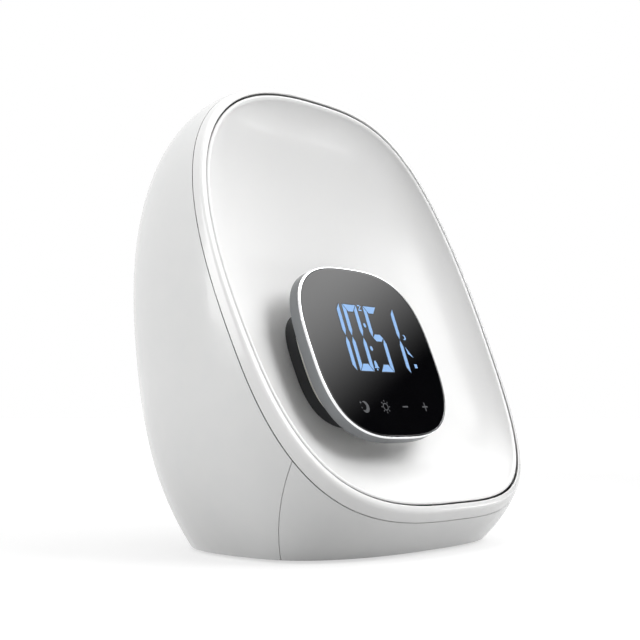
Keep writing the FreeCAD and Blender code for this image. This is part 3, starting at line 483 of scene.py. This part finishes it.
def segment(kind, right, grow):
    """One slanted segment of a digit: pointed uprights and mitred bars, whose u moves by 0.07 of the
    height over the digit's middle."""
    left = right - SPAN
    half, gap, tip = STROKE / 2.0, 0.25, 2.4
    bar_reach, long_cut, short_cut = 0.3, 0.45, 0.95
    if kind in ("upper-left", "upper-right", "lower-left", "lower-right"):
        u = left if "left" in kind else right
        low, high = (MIDDLE + gap, TOP) if "upper" in kind else (LOW, MIDDLE - gap)
        low, high = low - grow, high + grow
        outer = -half if "left" in kind else half
        top_u, low_u = (outer, 0.0) if "upper" in kind else (0.0, outer)
        outline = [(u - half - grow, low + tip), (u + low_u, low), (u + half + grow, low + tip),
                   (u + half + grow, high - tip), (u + top_u, high), (u - half - grow, high - tip)]
    elif kind == "middle":
        v, near, far = MIDDLE, left + half * bar_reach - grow, right - half * bar_reach + grow
        rise = BAR / 2.0 + grow
        outline = [(near, v), (near + rise, v - rise), (far - rise, v - rise), (far, v),
                   (far - rise, v + rise), (near + rise, v + rise)]
    else:
        edge, way = (TOP, -1.0) if kind == "top" else (LOW, 1.0)
        wide, narrow = half - long_cut + grow, -half - short_cut + grow
        outline = [(left - wide, edge - way * grow), (right + wide, edge - way * grow),
                   (right + narrow, edge + way * (BAR + grow)), (left - narrow, edge + way * (BAR + grow))]
    return [(u + SLANT * (v - MIDDLE), v) for u, v in outline]


one = ("upper-right", "lower-right")
nought = ("top", "bottom", "upper-left", "upper-right", "lower-left", "lower-right")
five = ("top", "upper-left", "middle", "lower-right", "bottom")
time_shown = ((-16.1, one), (-5.2, nought), (8.0, five), (19.2, one))


def disc(u, v, wide, high, count):
    """Ellipse outline (u + wide cos a, v + high sin a)."""
    return np.stack([u + wide * np.cos(even_angles(count)), v + high * np.sin(even_angles(count))], -1)


def time_outlines(grow):
    """Outlines of the segments of 10:51 and of the two dots, each widened by grow."""
    shapes = [segment(kind, right, grow) for right, kinds in time_shown for kind in kinds]
    return shapes + [disc(u, v, 0.8 + grow, 1.0 + grow, 16) for u, v in ((-1.6, 11.0), (-2.3, 1.0))]


edges = plates("digit_edges", time_outlines(0.35), 0.005, 0.02, segment_edge)
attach(edges, "clock")
digits = plates("digits_lit", time_outlines(0.0), 0.03, 0.05, lit_blue)
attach(digits, "clock")

# Display marks: small lit signs beside the digits (bell, moon, a slanted mark, a dot, a
# small zigzag), lit segments as the digits are, about 1 to 5 mm high.
def crescent(u, v, radius, count=14):
    """Moon outline open to the left: an outer arc of 250 degrees closed by a flatter inner arc."""
    outer = np.radians(np.linspace(70.0, 320.0, count))
    inner = np.radians(np.linspace(300.0, 90.0, count))
    outer_arc = np.stack([u - radius * np.cos(outer), v + radius * np.sin(outer)], -1)
    inner_arc = np.stack([u - radius * (0.42 + 0.72 * np.cos(inner)),
                          v + 0.12 * radius + 0.72 * radius * np.sin(inner)], -1)
    return np.vstack([outer_arc, inner_arc])


def block(left, right, low, high):
    """Rectangle outline between two u and two v values."""
    return [(left, low), (right, low), (right, high), (left, high)]


bell = [(-4.4, -7.4), (-1.4, -7.4), (-1.9, -6.6), (-2.1, -5.2), (-2.5, -4.3), (-3.3, -4.3),
        (-3.7, -5.2), (-3.9, -6.6)]
bell_clapper = disc(-2.9, -8.0, 0.42, 0.42, 20)
slanted_mark = [(21.2, 2.8), (24.4, -2.0), (21.6, -0.4)]
zigzag = [block(-2.3, -0.7, 19.4, 19.9), [(-0.7, 19.4), (-0.1, 19.4), (-1.7, 17.8), (-2.3, 17.8)],
          block(-2.3, -0.3, 17.3, 17.8)]
marks = plates("marks_lit", [
    bell, bell_clapper, crescent(22.7, 7.0, 1.2), slanted_mark, block(23.2, 25.0, -6.6, -4.9), *zigzag,
    ], 0.01, 0.05, lit_blue)
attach(marks, "clock")

# Touch marks: four grey signs printed on the back of the glass (moon with stars, sun,
# minus, plus), drawn as thin plates, about 4 to 5 mm across.
SUN_U, SUN_V, SIGN_V = -5.9, -23.6, -23.55
MINUS_U, PLUS_U, SIGN_REACH, SIGN_HALF = 7.0, 20.5, 1.8, 0.3


def turned(outline, angle, u, v):
    """Outline turned by an angle and moved: (u + a cos - b sin, v + a sin + b cos)."""
    c, s = math.cos(angle), math.sin(angle)
    return [(u + a * c - b * s, v + a * s + b * c) for a, b in outline]


def star(u, v, reach):
    """Four-pointed star: tips at the reach, notches at a quarter of it along both axes."""
    shape = ((0.0, 1.0), (0.25, 0.25), (1.0, 0.0), (0.25, -0.25), (0.0, -1.0), (-0.25, -0.25),
             (-1.0, 0.0), (-0.25, 0.25))
    return [(u + reach * a, v + reach * b) for a, b in shape]


# dull grey print, only a little lighter than the glass
grey_print = finish_of("grey-touch-print", "#4E5053", "#46484B", 0.45, 0.03, 2.0)
rim_step, ray_step = math.pi / 8.0, math.pi / 4.0
wedge = [(r * math.cos(a), r * math.sin(a))
         for r, a in ((1.2, 0.0), (1.6, 0.0), (1.6, rim_step), (1.2, rim_step))]
sun_rim = [turned(wedge, rim_step * k, SUN_U, SUN_V) for k in range(16)]
sun_rays = [turned(block(1.95, 2.7, -0.18, 0.18), ray_step * k, SUN_U, SUN_V) for k in range(8)]
minus = block(MINUS_U - SIGN_REACH, MINUS_U + SIGN_REACH, SIGN_V - SIGN_HALF, SIGN_V + SIGN_HALF)
quarter = [(-SIGN_HALF, SIGN_HALF), (-SIGN_HALF, SIGN_REACH), (SIGN_HALF, SIGN_REACH)]
plus = [point for k in range(4) for point in turned(quarter, -math.pi / 2.0 * k, PLUS_U, SIGN_V)]
icons = plates("touch_marks", [
    crescent(-18.8, -23.7, 2.4), *sun_rim, *sun_rays, star(-20.9, -21.9, 0.8), star(-20.9, -24.0, 0.5),
    minus, plus], 0.01, 0.04, grey_print)
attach(icons, "clock")

# Feet: four soft rubber discs, 12 mm across, with a rounded lower edge, pressed into
# seats in the base plate.
FOOT_POINTS, FOOT_SIDE, FOOT_FRONT, FOOT_BACK = 64, 36.0, -25.0, 27.0
# soft rubber: near black, with no clear highlight
rubber = finish_of("soft-rubber", "#2A2A2B", "#222223", 0.75, 0.05, 0.8, bump_mm=0.04)
turn = even_angles(FOOT_POINTS)
foot_profile = ((5.5, 0.0), (5.7, 0.04), (5.88, 0.16), (5.97, 0.32), (6.0, 0.5), (6.0, 2.4))
foot_skins = [skin([np.stack([x + r * np.cos(turn), y + r * np.sin(turn), np.full(FOOT_POINTS, z)], -1)
                    for r, z in foot_profile])
              for x in (-FOOT_SIDE, FOOT_SIDE) for y in (FOOT_FRONT, FOOT_BACK)]
feet = make_piece("feet_rubber", *joined(foot_skins), rubber)
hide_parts("rubber_feet")
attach(feet, "clock")

# Rear buttons: five round plastic buttons, 9.6 mm across, whose tops follow the egg and
# stand 1 mm proud; each has a flange behind the wall and a stem on its switch.
BUTTON_POINTS, BUTTON_PROUD = 72, 0.98
stem_and_flange = ((1.6, 48.62), (1.6, 50.1), (6.0, 50.12), (6.0, 51.28), (4.8, 51.3))
# each radius of the rounded top with its drop under the raised egg surface
button_top = ((4.8, 0.6), (4.76, 0.35), (4.62, 0.15), (4.35, 0.03), (4.0, 0.0), (3.0, 0.0), (1.5, 0.0))
# satin moulded plastic: a shade greyer and duller than the shell
button_white = finish_of("satin-white-buttons", "#DCDDDE", "#D6D7D9", 0.36, 0.04, 4.0, coat=0.1)
turn = even_angles(BUTTON_POINTS)
for index, name in enumerate(("volume_down_button", "volume_up_button", "sound_button", "time_button",
                              "alarm_button")):
    middle = BUTTON_PITCH * (2 - index)
    loops = []
    for radius, y in stem_and_flange:
        x, z = middle + radius * np.cos(turn), BUTTON_ROW + radius * np.sin(turn)
        loops.append(np.stack([x, np.full(BUTTON_POINTS, y), z], -1))
    for radius, drop in button_top:
        x, z = middle + radius * np.cos(turn), BUTTON_ROW + radius * np.sin(turn)
        y = halve(lambda y: outside_egg(np.stack([x, y, z], -1), -BUTTON_PROUD) < 0.0,
                  np.full(BUTTON_POINTS, 20.0), np.full(BUTTON_POINTS, 90.0))
        loops.append(np.stack([x, y - drop, z], -1))
    cap = make_piece(name + "_cap", *skin(loops), button_white)
    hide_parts(name)
    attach(cap, name)

# Base, hatch and inner pieces: the CAD pieces as they are, each with its own finish;
# all are inside but the matt moulded base, its hatch and screws, and the inlet.

# plastics, boards and moulded chips have broad dull highlights, metals brighter and sharper ones
base_plastic = finish_of("matt-base-plastic", "#D0D1D2", "#C9CACC", 0.55, 0.05, 1.0, bump_mm=0.03)
board_green = finish_of("green-circuit-board", "#1F6B3F", "#185634", 0.42, 0.06, 2.5)
steel = finish_of("plated-steel", "#B4B6B8", "#A3A5A8", 0.32, 0.06, 0.8, metallic=1.0)
aluminium = finish_of("bare-aluminium-plate", "#BFC1C3", "#B0B2B5", 0.42, 0.05, 0.6, metallic=1.0)
chip_black = finish_of("black-moulding-compound", "#1C1C1E", "#161618", 0.6, 0.05, 0.6, bump_mm=0.02)
finishes = {
    "base_plate": base_plastic, "battery_door": base_plastic,
    "dc_jack": dark_plastic, "cell_holder": dark_plastic,
    "main_board": board_green, "display_board": board_green, "button_board": board_green,
    "base_screws": steel, "board_screws": steel, "neck_screws": steel, "pod_screws": steel,
    "coin_cell": steel, "heat_sink": aluminium, "board_chips": chip_black, "button_switches": chip_black,
    "lcd_panel": finish_of("display-panel-glass", "#3A4452", "#323B48", 0.12, 0.02, 6.0, ior=1.52),
    "lcd_backlight": finish_of("light-guide-acrylic", "#E4ECF4", "#DCE4EE", 0.25, 0.04, 3.0, ior=1.49),
    "led_board": finish_of("white-solder-resist", "#E2E4E2", "#D8DAD8", 0.42, 0.05, 2.0),
    "led_emitters": finish_of("phosphor-lens", "#F2D678", "#EACB66", 0.30, 0.04, 0.5),
    "speaker_frame": finish_of("black-painted-steel", "#26272A", "#1F2022", 0.45, 0.06, 1.0, bump_mm=0.01),
    "speaker_cone": finish_of("coated-paper-cone", "#232325", "#1B1B1D", 0.72, 0.06, 0.5, bump_mm=0.04),
    "speaker_magnet": finish_of("sintered-ferrite", "#303134", "#28292B", 0.68, 0.08, 0.7, bump_mm=0.03),
}
for node, finish in finishes.items():
    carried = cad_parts[node]
    carried.data.materials.clear()
    carried.data.materials.append(finish)

# Stage: a plain pale floor, white surroundings for camera and reflections, four soft
# lamps, and a card with a graded glow that the glass reflects.
WHITE = (1.0, 1.0, 1.0, 1.0)


def seen_flag(owner):
    """1 on camera, glossy and transmission rays and 0 on the rest: the greatest of the three flags."""
    path = add_node(owner, "ShaderNodeLightPath", {})
    flag = path.outputs["Is Camera Ray"]
    for other in ("Is Glossy Ray", "Is Transmission Ray"):
        flag = add_node(owner, "ShaderNodeMath", {0: flag, 1: path.outputs[other]},
                        operation="MAXIMUM").outputs[0]
    return flag


# matt pale paper with a glow that only seen rays meet; it grows with the distance in metres, so
# that the floor is white away from the clock and keeps the clock's shadow
FLOOR_SIZE, ROOM_LIGHT = 16.0, 0.30
NEAR_METRES, FAR_METRES, NEAR_GLOW, FAR_GLOW = 0.4, 1.6, 0.62, 0.95
floor_pale = finish_of("pale-floor-paper", "#A6A6A6", "#A2A2A2", 0.8, 0.04, 30.0)
spot = add_node(floor_pale, "ShaderNodeTexCoord", {})
away = add_node(floor_pale, "ShaderNodeVectorMath", {0: spot.outputs["Object"]}, operation="LENGTH")
far_glow = add_node(floor_pale, "ShaderNodeMapRange", {
    "Value": away.outputs["Value"], "From Min": NEAR_METRES, "From Max": FAR_METRES,
    "To Min": NEAR_GLOW, "To Max": FAR_GLOW})
glow_seen = add_node(floor_pale, "ShaderNodeMath", {
    0: far_glow.outputs["Result"], 1: seen_flag(floor_pale)}, operation="MULTIPLY")
floor_shader = next(n for n in floor_pale.node_tree.nodes if n.type == "BSDF_PRINCIPLED")
floor_shader.inputs["Emission Color"].default_value = WHITE
floor_pale.node_tree.links.new(glow_seen.outputs[0], floor_shader.inputs["Emission Strength"])
bpy.ops.mesh.primitive_plane_add(size=FLOOR_SIZE, location=(0.0, 0.0, 0.0))
floor = bpy.context.object
floor.name = "floor_stage"
floor.data.materials.append(floor_pale)

world = bpy.data.worlds.new("white-room")
bpy.context.scene.world = world
world.use_nodes = True
world.node_tree.nodes.clear()
strength = add_node(world, "ShaderNodeMapRange", {
    "Value": seen_flag(world), "To Min": ROOM_LIGHT, "To Max": 1.0})
surround = add_node(world, "ShaderNodeBackground", {"Color": WHITE, "Strength": strength.outputs["Result"]})
add_node(world, "ShaderNodeOutputWorld", {"Surface": surround.outputs["Background"]})

# each soft square lamp with its place and side in metres and its power in watts
lamps = (("key_lamp", (0.35, -1.05, 1.05), 0.8, 12.0), ("top_lamp", (0.1, 0.0, 1.25), 1.0, 5.0),
         ("right_lamp", (0.95, -0.6, 0.12), 0.4, 3.0), ("left_lamp", (-1.1, 0.35, 0.5), 0.6, 6.5))
AIM_HEIGHT = 0.08
for name, place, size, watts in lamps:
    light = bpy.data.lights.new(name, "AREA")
    light.size, light.energy = size, watts
    lamp = bpy.data.objects.new(name, light)
    lamp.location = place
    aim = -lamp.location
    aim.z += AIM_HEIGHT
    lamp.rotation_euler = aim.to_track_quat("-Z", "Y").to_euler()
    bpy.context.scene.collection.objects.link(lamp)

# the card stands about where the camera's rays go after the glass mirrors them; its glow
# grows towards the glass's upper left corner
CARD_WAY = np.array([0.770, -0.394, 0.503])
CARD_DISTANCE, CARD_HALF, CARD_GLOW = 600.0, 330.0, 2.9
# the glow rises from this far before the card's middle to this far after it, in metres
FADE_BEFORE, FADE_AFTER = 0.07, 0.06
card_mid = POD_CENTRE + CARD_DISTANCE * CARD_WAY
side = np.cross(CARD_WAY, [0.0, 0.0, 1.0])
side /= np.linalg.norm(side)
up = np.cross(side, CARD_WAY)
card_points = [card_mid + CARD_HALF * (a * side + b * up) for a, b in ((-1, -1), (1, -1), (1, 1), (-1, 1))]
glow_way = leaned(-POD_HALF_WIDTH, POD_HALF_HEIGHT, 0.0) - POD_CENTRE
glow_way = glow_way - CARD_WAY * (glow_way @ CARD_WAY)
glow_way /= np.linalg.norm(glow_way)
centre = float(card_mid @ glow_way) * MM
graded = bpy.data.materials.new("graded-card")
graded.use_nodes = True
graded.node_tree.nodes.clear()
place = add_node(graded, "ShaderNodeTexCoord", {})
along = add_node(graded, "ShaderNodeVectorMath", {0: place.outputs["Object"], 1: glow_way.tolist()},
                 operation="DOT_PRODUCT")
level = add_node(graded, "ShaderNodeMapRange", {
    "Value": along.outputs["Value"], "From Min": centre - FADE_BEFORE, "From Max": centre + FADE_AFTER,
    "To Min": 0.0, "To Max": CARD_GLOW}, interpolation_type="SMOOTHSTEP")
shine = add_node(graded, "ShaderNodeEmission", {"Color": WHITE, "Strength": level.outputs["Result"]})
add_node(graded, "ShaderNodeOutputMaterial", {"Surface": shine.outputs["Emission"]})
card = make_piece("graded_card", card_points, [[0, 1, 2, 3]], graded)

# Camera: at the photo's angle, 50.6 degrees to the side of the face and looking 4.4 degrees
# upward, with a 67.5 mm lens.
azimuth, climb = math.radians(50.59), math.radians(4.43)
camera_data = bpy.data.cameras.new("camera")
camera_data.lens, camera_data.sensor_width, camera_data.clip_start = 67.5, 36.0, 0.01
camera = bpy.data.objects.new("camera", camera_data)
camera.location = (-0.37627, -0.30394, 0.05173)
camera.rotation_euler = (math.pi / 2.0 + climb, 0.0, -azimuth)
bpy.context.scene.collection.objects.link(camera)
bpy.context.scene.camera = camera
bpy.context.scene.view_settings.view_transform = "Standard"
